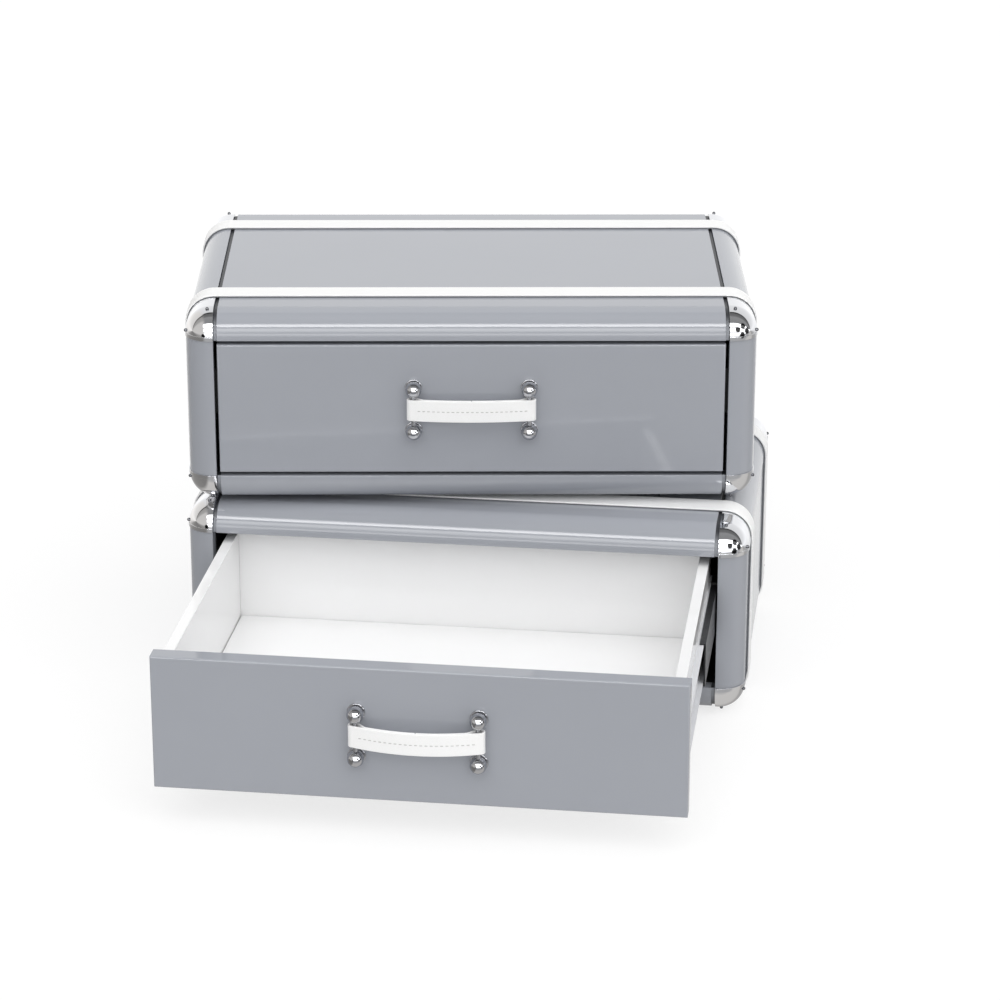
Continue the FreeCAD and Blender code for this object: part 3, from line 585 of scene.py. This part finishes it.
# groove faces take the groove finish with its painted shade
for face in panel.data.polygons:
    face.material_index = 1 if abs(face.center.x) > faceEnd - tiny else 0
underPanel = turnedOver(panel, "underPanel", "z")
soften(panel)
soften(underPanel)
fit(panel, "top_panel", [greyLacquer, grooveShade])
fit(underPanel, "bottom_panel", [greyLacquer, grooveShade])
print("bent panels made")


# Side rails, posts, side panels and back

rail = block("rail", (openSide, -halfDepth, openHigh), (halfWidth, halfDepth, halfHeight))
roundEdges(
    rail,
    caseForm["rounding"],
    lambda middle: at(middle, x=halfWidth, z=halfHeight)
    or (abs(abs(middle.y) - halfDepth) < tiny and (at(middle, z=halfHeight) or at(middle, x=halfWidth))),
)
repeatMirrored(rail, "xz")
soften(rail)
fit(rail, "side_rails", [greyLacquer])

postBack = -halfDepth + caseForm["margin"]
post = block("post", (openSide, -halfDepth, -openHigh), (halfWidth, postBack, openHigh))
roundEdges(post, caseForm["rounding"], lambda middle: at(middle, x=halfWidth, y=-halfDepth))
roundEdges(
    post,
    caseForm["openingEdge"],
    lambda middle: at(middle, x=openSide, y=-halfDepth),
    caseForm["fineSegments"],
)
cutAway(
    post,
    block(
        "recess",
        (openSide - caseForm["margin"], -halfDepth + caseForm["lip"], -halfHeight),
        (halfWidth - caseForm["board"], 0, halfHeight),
    ),
)
repeatMirrored(post, "xy")
soften(post)
fit(post, "posts", [greyLacquer])

sidePanel = block(
    "sidePanel", (halfWidth - caseForm["board"], postBack, -openHigh), (halfWidth, -postBack, openHigh)
)
otherSide = turnedOver(sidePanel, "otherSide", "x")
for piece, part in ((sidePanel, "right_side_panel"), (otherSide, "left_side_panel")):
    soften(piece)
    fit(piece, part, [greyLacquer])

back = block(
    "back",
    (-openSide + caseForm["hairline"], halfDepth - caseForm["back"], -openHigh),
    (openSide - caseForm["hairline"], halfDepth, openHigh),
)
soften(back)
fit(back, "back_panel", [greyLacquer])
print("rails, posts and panels made")


# Pressed chrome corners with a raised collar where they meet the posts

beltForm = {
    "width": 0.028,
    "thickness": 0.0028,
    "seat": 0.0001,          # clearance on the painted case
    "inset": 0.0695,         # belt's middle from the front or the back
    "edge": 0.0006,
    "backing": 0.0011,       # thickness of the grey painted-shade strip under the white leather
    "inlet": 0.0003,         # how far the grey strip stays inside the belt's edge
    "shadeStripEdge": 0.0001,
    "tuck": 0.010,           # belt's end outside the base plate
}
beltPlace = halfDepth - beltForm["inset"]

cornerForm = {
    "proud": 0.0007,
    "seat": 0.0001,          # clearance on the painted rails
    "beltGap": 0.0005,
    "collarWidth": 0.0042,
    "collarRise": 0.0005,
    "edge": 0.00015,
}
legEnd = -beltPlace - beltForm["width"] / 2 - cornerForm["beltGap"]
outside = cornerForm["proud"]


def cornerBall(name, low, high, radius):
    ball = block(name, low, high)
    right, front, top = high[0], low[1], high[2]
    roundEdges(
        ball,
        radius,
        lambda middle: at(middle, x=right, z=top)
        or at(middle, y=front, z=top)
        or at(middle, x=right, y=front),
    )
    return ball


corner = cornerBall(
    "corner",
    (openSide, -halfDepth - outside, openHigh),
    (halfWidth + outside, legEnd, halfHeight + outside),
    caseForm["rounding"] + outside,
)
collarTop = openHigh + cornerForm["collarWidth"]
cutLine(corner, (0, 0, collarTop), (0, 0, 1))
swell(
    corner,
    cornerForm["collarRise"],
    lambda middle, facing: middle.z < collarTop
    and facing.x > -mostly
    and facing.y < mostly
    and facing.z > -mostly,
)
seat = cornerForm["seat"]
cutAway(
    corner,
    cornerBall(
        "core",
        (openSide - caseForm["margin"], -halfDepth - seat, openHigh - caseForm["margin"]),
        (halfWidth + seat, legEnd + caseForm["margin"], halfHeight + seat),
        caseForm["rounding"] + seat,
    ),
)
repeatMirrored(corner, "xz")
rearCorner = turnedOver(corner, "rearCorner", "y")
for piece, part in ((corner, "front_corners"), (rearCorner, "rear_corners")):
    soften(piece, cornerForm["edge"])
    fit(piece, part, [chromePlate])
print("chrome corners made")


# Leather belts round each case, their ends tucked underneath

plateLow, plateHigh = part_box("base_plate")
beltEnd = plateHigh.x + beltForm["tuck"]


def strap(name, skin, thickness, width):
    side = halfWidth + skin
    top = halfHeight + skin
    piece = block(name, (-side, -width / 2, -top), (side, width / 2, top))
    roundEdges(
        piece,
        caseForm["rounding"] + skin,
        lambda middle: abs(abs(middle.x) - side) < tiny and abs(abs(middle.z) - top) < tiny,
    )
    for end in (-beltEnd, beltEnd):
        cutLine(piece, (end, 0, 0), (1, 0, 0))
    pick(
        piece,
        "FACE",
        lambda middle, facing: abs(facing.y) > mostly or (facing.z < -mostly and abs(middle.x) < beltEnd),
    )
    bpy.ops.mesh.delete(type="FACE")
    done()
    applyModifier(piece, "SOLIDIFY", thickness=thickness, offset=-1, use_even_offset=True)
    return piece


outer = beltForm["seat"] + beltForm["thickness"]
under = beltForm["seat"] + beltForm["backing"]
# Each belt is white leather over a grey strip whose edge is painted shade, the belt's contact shadow
for part, place in (("front_belt", -beltPlace), ("rear_belt", beltPlace)):
    cover = strap("cover", outer, outer - under, beltForm["width"])
    lining = strap("lining", under, beltForm["backing"], beltForm["width"] - 2 * beltForm["inlet"])
    for layer in (cover, lining):
        layer.data.transform(Matrix.Translation((0, place, 0)))
        faceOutwards(layer)
    soften(cover, beltForm["edge"], 3)
    soften(lining, beltForm["shadeStripEdge"], 1)
    fit(cover, part, [whiteLeather])
    fit(lining, part + "_backing", [beltBacking], node=False)
print("belts made")


# Drawer boxes: lacquered front, white sides, back and bottom

drawerForm = {
    "sideGap": 0.0036,
    "edgeGap": 0.004,
    "frontThickness": 0.019,
    "frontRounding": 0.002,
    "frontSegments": 6,
    "wall": 0.011,
    "low": -0.049,           # the box's sides, from the case's middle
    "high": 0.064,
    "end": 0.172,
    "runner": 0.0102,
    "floorLow": -0.041,
    "floorHigh": -0.033,
    "edge": 0.0006,
    "floorEdge": 0.001,
    "floorGap": 0.0007,      # the fine dark line round the drawer's floor
}
frontSide = openSide - drawerForm["sideGap"]
frontHigh = openHigh - drawerForm["edgeGap"]
frontBack = -halfDepth + drawerForm["frontThickness"]
front = block("front", (-frontSide, -halfDepth, -frontHigh), (frontSide, frontBack, frontHigh))
roundEdges(
    front,
    drawerForm["frontRounding"],
    lambda middle: at(middle, y=-halfDepth),
    drawerForm["frontSegments"],
)
soften(front)
fit(front, "drawer_front", [greyLacquer], "drawer")

drawerSide = openSide - drawerForm["runner"]
innerSide = drawerSide - drawerForm["wall"]
low = drawerForm["low"]
high = drawerForm["high"]
end = drawerForm["end"]
floorGap = drawerForm["floorGap"]
floorSide = innerSide - floorGap
boards = {
    "drawer_right_side": ((innerSide, frontBack, low), (drawerSide, end, high)),
    "drawer_left_side": ((-drawerSide, frontBack, low), (-innerSide, end, high)),
    "drawer_back": ((-innerSide, end - drawerForm["wall"], low), (innerSide, end, high)),
    "drawer_bottom": (
        (-floorSide, frontBack + floorGap, drawerForm["floorLow"]),
        (floorSide, end - drawerForm["wall"] - floorGap, drawerForm["floorHigh"]),
    ),
}
for part, corners in boards.items():
    piece = block(part, *corners)
    soften(piece, drawerForm["floorEdge" if part == "drawer_bottom" else "edge"], 3)
    fit(piece, part, [whiteLacquer], "drawer")
print("drawers made")


# Handles: ball bosses on rings, upright bars and a stitched leather grip looped round them

handleForm = {
    "half": 0.0608,          # bar centre from the drawer's middle
    "rise": 0.0235,          # boss centre from the handle's middle
    "lift": 0.0003,
    "ball": 0.0085,
    "ballSteps": 24,
    "proud": 0.008,          # ball's centre in front of the drawer
    "ring": 0.0093,
    "ringThickness": 0.0016,
    "ringEdge": 0.0006,
    "bar": 0.0025,
    "barSeat": 0.005,        # how far a bar reaches into a ball
    "barEdge": 0.0004,
    "barSteps": 32,
    "bossSoftness": 0.00015,
    "barSoftness": 0.0001,
}
handleFront = -halfDepth - handleForm["proud"]
ballRadius = handleForm["ball"]
neck = math.sqrt(ballRadius ** 2 - (handleForm["proud"] - handleForm["ringThickness"]) ** 2)
ballProfile = []
turnEnd = math.pi - math.asin(neck / ballRadius)
for step in range(handleForm["ballSteps"] + 1):
    angle = turnEnd * step / handleForm["ballSteps"]
    ballProfile.append((ballRadius * math.sin(angle), handleForm["proud"] + ballRadius * math.cos(angle)))
ring = handleForm["ring"]
ringTop = handleForm["ringThickness"]
ringEdge = handleForm["ringEdge"]
ringProfile = [
    (ring - ringEdge, ringTop),
    (ring - ringEdge / 3, ringTop - ringEdge / 3),
    (ring, ringTop - ringEdge),
    (ring, 0),
    (0, 0),
]
boss = lathe(
    "boss",
    ballProfile + ringProfile,
    (handleForm["half"], -halfDepth, handleForm["rise"]),
    (0, -1, 0),
)
repeatMirrored(boss, "xz")
soften(boss, handleForm["bossSoftness"])
boss.data.transform(Matrix.Translation((0, 0, handleForm["lift"])))
fit(boss, "handle_bosses", [handleChromeShaded], "drawer")

barHalf = handleForm["rise"] - ballRadius + handleForm["barSeat"]
bar = handleForm["bar"]
barMiddle = (handleForm["half"], handleFront, 0)
barEdge = handleForm["barEdge"]
barProfile = [(0, barHalf), (bar - barEdge, barHalf), (bar, barHalf - barEdge)]
barProfile += [(radius, -height) for radius, height in reversed(barProfile)]
upright = lathe("bar", barProfile, barMiddle, (0, 0, 1), handleForm["barSteps"])
repeatMirrored(upright, "x")
soften(upright, handleForm["barSoftness"], 1)
upright.data.transform(Matrix.Translation((0, 0, handleForm["lift"])))
fit(upright, "handle_bars", [handleChromeShaded], "drawer")
print("bosses and bars made")

gripForm = {
    "height": 0.023,
    "lift": 0.0022,          # grip's middle above the handle's middle
    "leather": 0.0024,
    "layerStep": 0.0025,     # from the middle of one layer to the next
    "barClearance": 0.0002,
    "slack": 0.002,          # loop's middle outside the bar's
    "taper": 0.014,          # length over which a loop closes
    "endGap": 0.0003,        # half the gap between the tucked-in ends
    "bow": {"lower": 0.0075, "upper": 0.004},
    "sag": {"lower": 0.0018, "upper": 0.0004},
    "edge": 0.0006,
    "steps": {"inner": 12, "taper": 8, "loop": 12, "outer": 16},
}
stitchForm = {
    "count": 23,
    "pitch": 0.0051,
    "length": 0.0032,
    "radius": 0.0004,
    "shift": 0.001,
    "sides": 8,
}


# The strap's middle line, from one tucked-in end round both bars to the other
def gripLine(bow, sag):
    reach = handleForm["half"] + gripForm["slack"]
    turn = handleForm["bar"] + gripForm["barClearance"] + gripForm["layerStep"] / 2
    closed = reach - gripForm["taper"]
    drop = lambda x: sag * ((x / reach) ** 2 - 1)
    outer = lambda x: handleFront - turn - bow * (1 - (x / reach) ** 2)
    inner = lambda x: outer(x) + gripForm["layerStep"]
    right = []
    steps = gripForm["steps"]
    gap = gripForm["endGap"]
    for step in range(steps["inner"] + 1):
        x = gap + (closed - gap) * step / steps["inner"]
        right.append((x, inner(x), drop(x)))
    for step in range(1, steps["taper"] + 1):
        share = step / steps["taper"]
        ease = share * share * (3 - 2 * share)
        x = closed + (handleForm["half"] - closed) * share
        right.append((x, inner(closed) * (1 - ease) + (handleFront + turn) * ease, drop(x)))
    for step in range(steps["loop"] + 1):
        angle = math.pi * step / steps["loop"]
        right.append((reach + turn * math.sin(angle), handleFront + turn * math.cos(angle), 0))
    for step in range(1, steps["outer"] + 1):
        x = reach * (1 - step / steps["outer"])
        right.append((x, outer(x), drop(x)))
    return right + [(-x, y, z) for x, y, z in reversed(right[:-1])]


# The profile is a rounded rod, in shares of a stitch's radius and length
def stitch(x, y, z, slope):
    profile = [(0, 0.5), (0.6, 0.46), (1, 0.3), (1, -0.3), (0.6, -0.46), (0, -0.5)]
    scaled = [(radius * stitchForm["radius"], along * stitchForm["length"]) for radius, along in profile]
    piece = lathe("stitch", scaled, (0, 0, 0), (0, 0, 1), stitchForm["sides"])
    turnToLine = Matrix.Rotation(slope, 4, "Z") @ Matrix.Rotation(math.pi / 2, 4, "Y")
    piece.data.transform(Matrix.Translation((x, y, z)) @ turnToLine)
    return piece


gripMiddle = handleForm["lift"] + gripForm["lift"]
for case in ("lower", "upper"):
    bow = gripForm["bow"][case]
    sag = gripForm["sag"][case]
    line = [(x, y, z + gripMiddle) for x, y, z in gripLine(bow, sag)]
    grip = ribbon("grip", line, gripForm["height"])
    applyModifier(grip, "SOLIDIFY", thickness=gripForm["leather"], offset=0, use_even_offset=True)
    faceOutwards(grip)
    soften(grip, gripForm["edge"], 3)
    fit(grip, "handle_grip", [whiteLeather], "drawer", (case,))
    reach = handleForm["half"] + gripForm["slack"]
    loop = handleForm["bar"] + gripForm["barClearance"]
    face = handleFront - loop - (gripForm["layerStep"] + gripForm["leather"]) / 2
    stitches = []
    for number in range(stitchForm["count"]):
        x = (number - (stitchForm["count"] - 1) / 2) * stitchForm["pitch"] + stitchForm["shift"]
        y = face - bow * (1 - (x / reach) ** 2)
        z = sag * ((x / reach) ** 2 - 1) + gripMiddle
        stitches.append(stitch(x, y, z, math.atan(2 * bow * x / reach ** 2)))
    seam = join("seam", stitches)
    activate(seam)
    bpy.ops.object.shade_smooth()
    fit(seam, "grip_stitches", [shadedThread], "drawer", (case,), False)
print("grips made")


# Floor, light and camera

# Light for matt surfaces falls from above and from the front. What gloss shows of the studio goes by the
# angle over the top: 0 level towards the camera, 90 overhead, 180 level at the back, minus below the
# floor line. Towards the left it is a plain warm wall, and a few stands show as dark spots.
studio = {
    "towardsCamera": Vector((0.132, -0.991, 0)),
    "sideways": Vector((0.991, 0.132, 0)),
    "level": -0.50,          # brightness level with the eye, negative so that low directions stay dark
    "fromAbove": 2.17,
    "fromFront": 1.07,
    "fromRight": 0.28,
    "brightest": 11.0,       # strength that a ramp's full white stands for
    "middle": [              # (angle, brightness) straight ahead
        (-180, 1.25), (-164, 1.1), (-150, 0.5), (-125, 0.45), (-105, 0.7), (-45, 0.72), (-32, 0.48),
        (-9, 0.52), (-5, 1.3), (0, 4), (4, 3.5), (8, 0.8), (12, 1.5), (17, 4), (24, 5), (28, 3.5),
        (31, 0.5), (34.5, 0.6), (36.5, 11), (43, 10), (47, 6), (50, 0.8), (53, 0.3), (80, 0.34),
        (84, 0.2), (97, 0.16), (100, 0.12), (101, 0.01), (104.5, 0.01), (107, 0.9), (150, 1.0),
        (180, 1.25),
    ],
    "left": [                # the same on the wall to the left
        (-180, 1.25), (-164, 1.1), (-150, 0.45), (-130, 0.32), (-60, 0.27), (-22, 0.26), (-8, 0.45),
        (0, 0.78), (60, 0.74), (70, 0.5), (93, 0.4), (95.5, 0.02), (98.5, 0.02), (102, 0.88),
        (150, 1.0), (180, 1.25),
    ],
    "leftFrom": -0.42,       # share to the right where the wall begins
    "leftTo": -0.58,         # and where it is all that shows
    "warm": (1.0, 0.97, 0.93),
    "warmFrom": -130,
    "warmTo": -35,
    "stands": [              # (angle, share to the right, size)
        (44, 0.77, 0.18), (23, 0.48, 0.18), (18, 0.95, 0.18), (-8, 0.74, 0.18), (-6, -0.56, 0.12),
    ],
    "standEdge": 0.04,
    "standLight": 0.02,
}


# The ramp runs from -180 to 180 degrees
def bandRamp(tree, share, bands, allWarm):
    ramp = addNode(tree, "ShaderNodeValToRGB", Fac=share)
    stops = ramp.color_ramp.elements
    stops[0].position = 0
    stops[1].position = 1
    for angle, _ in bands[1:-1]:
        stops.new(angle / 360 + 0.5)
    for stop, (angle, brightness) in zip(stops, bands):
        warm = allWarm or studio["warmFrom"] < angle < studio["warmTo"]
        tone = studio["warm"] if warm else (1, 1, 1)
        stop.color = [brightness / studio["brightest"] * part for part in tone] + [1]
    return ramp.outputs[0]


def studioInGloss(tree, direction):
    dot = {"operation": "DOT_PRODUCT"}
    ahead, right = studio["towardsCamera"], studio["sideways"]
    forward = addNode(tree, "ShaderNodeVectorMath", dot, socket0=direction, socket1=ahead)
    across = addNode(tree, "ShaderNodeVectorMath", dot, socket0=direction, socket1=right)
    height = addNode(tree, "ShaderNodeSeparateXYZ", Vector=direction).outputs["Z"]
    turn = addNode(
        tree, "ShaderNodeMath", {"operation": "ARCTAN2"}, socket0=height, socket1=forward.outputs["Value"]
    )
    share = addNode(
        tree, "ShaderNodeMath", {"operation": "MULTIPLY_ADD"}, socket0=turn.outputs[0],
        socket1=1 / math.tau, socket2=0.5,
    )
    wall = addNode(
        tree, "ShaderNodeMapRange", Value=across.outputs["Value"], From_Min=studio["leftFrom"],
        From_Max=studio["leftTo"],
    )
    colour = addNode(tree, "ShaderNodeMix", {"data_type": "RGBA"}, Factor=wall.outputs[0])
    tree.links.new(bandRamp(tree, share.outputs[0], studio["middle"], False), colour.inputs[6])
    tree.links.new(bandRamp(tree, share.outputs[0], studio["left"], True), colour.inputs[7])
    strength = studio["brightest"]
    for angle, side, size in studio["stands"]:
        level = math.sqrt(1 - side * side)
        place = right * side + ahead * level * math.cos(math.radians(angle))
        place.z = level * math.sin(math.radians(angle))
        away = addNode(
            tree, "ShaderNodeVectorMath", {"operation": "DISTANCE"}, socket0=direction, socket1=place
        )
        clear = addNode(
            tree, "ShaderNodeMapRange", Value=away.outputs["Value"], From_Min=size,
            From_Max=size + studio["standEdge"], To_Min=studio["standLight"],
        )
        strength = addNode(
            tree, "ShaderNodeMath", {"operation": "MULTIPLY"}, socket0=clear.outputs[0], socket1=strength
        ).outputs[0]
    return colour.outputs[2], strength


# Paper floor: the camera sees it near white with a soft shadow, and gloss shows the studio instead
bpy.ops.object.select_all(action="DESELECT")
paperLook = {
    "size": 16,
    "centre": (0, 2, 0),
    "colour": (0.8, 0.8, 0.8, 1),
    "glow": 1.15,
    "share": 0.65,           # how much of the paper is glow for the camera
}
bpy.ops.mesh.primitive_plane_add(size=paperLook["size"], location=paperLook["centre"])
floor = bpy.context.object
floor.name = "floor"
floorMaterial = bpy.data.materials.new("whiteFloor")
floorMaterial.use_nodes = True
tree = floorMaterial.node_tree
tree.nodes.clear()
path = addNode(tree, "ShaderNodeLightPath")
paper = addNode(tree, "ShaderNodeBsdfDiffuse", Color=paperLook["colour"])
glow = addNode(tree, "ShaderNodeEmission", Strength=paperLook["glow"])
lifted = addNode(
    tree, "ShaderNodeMixShader", socket0=paperLook["share"], socket1=paper.outputs[0],
    socket2=glow.outputs[0],
)
seen = addNode(
    tree, "ShaderNodeMixShader", socket0=path.outputs["Is Camera Ray"], socket1=paper.outputs[0],
    socket2=lifted.outputs[0],
)
addNode(tree, "ShaderNodeOutputMaterial", Surface=seen.outputs[0])
floor.data.materials.append(floorMaterial)
floor.visible_glossy = False

world = bpy.data.worlds.new("studio")
bpy.context.scene.world = world
world.use_nodes = True
tree = world.node_tree
tree.nodes.clear()
direction = addNode(tree, "ShaderNodeTexCoord").outputs["Generated"]
slope = studio["towardsCamera"] * studio["fromFront"] + studio["sideways"] * studio["fromRight"]
slope.z = studio["fromAbove"]
lean = addNode(
    tree, "ShaderNodeVectorMath", {"operation": "DOT_PRODUCT"}, socket0=direction, socket1=slope
)
level = addNode(
    tree, "ShaderNodeMath", {"operation": "ADD"}, socket0=lean.outputs["Value"], socket1=studio["level"]
)
soft = addNode(tree, "ShaderNodeMath", {"operation": "MAXIMUM"}, socket0=level.outputs[0], socket1=0.0)
plain = addNode(tree, "ShaderNodeBackground", Strength=soft.outputs[0])
plain.inputs["Color"].default_value = (1, 1, 1, 1)
colour, strength = studioInGloss(tree, direction)
gloss = addNode(tree, "ShaderNodeBackground", Color=colour, Strength=strength)
white = addNode(tree, "ShaderNodeBackground", Color=(1, 1, 1, 1), Strength=1.0)
path = addNode(tree, "ShaderNodeLightPath")
lit = addNode(
    tree, "ShaderNodeMixShader", socket0=path.outputs["Is Glossy Ray"], socket1=plain.outputs[0],
    socket2=gloss.outputs[0],
)
shown = addNode(
    tree, "ShaderNodeMixShader", socket0=path.outputs["Is Camera Ray"], socket1=lit.outputs[0],
    socket2=white.outputs[0],
)
addNode(tree, "ShaderNodeOutputWorld", Surface=shown.outputs[0])

# Fitted to the edges of both cases in the photograph
lens = {
    "place": (0.47768, -3.58172, 1.55426),
    "pan": 7.376,
    "tilt": 68.91,
    "roll": 0.08,
    "length": 125.376,
    "sensor": 36,
}
cameraData = bpy.data.cameras.new("camera")
cameraData.lens = lens["length"]
cameraData.sensor_width = lens["sensor"]
camera = bpy.data.objects.new("camera", cameraData)
bpy.context.scene.collection.objects.link(camera)
camera.matrix_world = (
    Matrix.Translation(lens["place"])
    @ Matrix.Rotation(math.radians(lens["pan"]), 4, "Z")
    @ Matrix.Rotation(math.radians(lens["tilt"]), 4, "X")
    @ Matrix.Rotation(math.radians(lens["roll"]), 4, "Z")
)
bpy.context.scene.camera = camera
bpy.context.scene.view_settings.view_transform = "Standard"
print("floor, light and camera set")
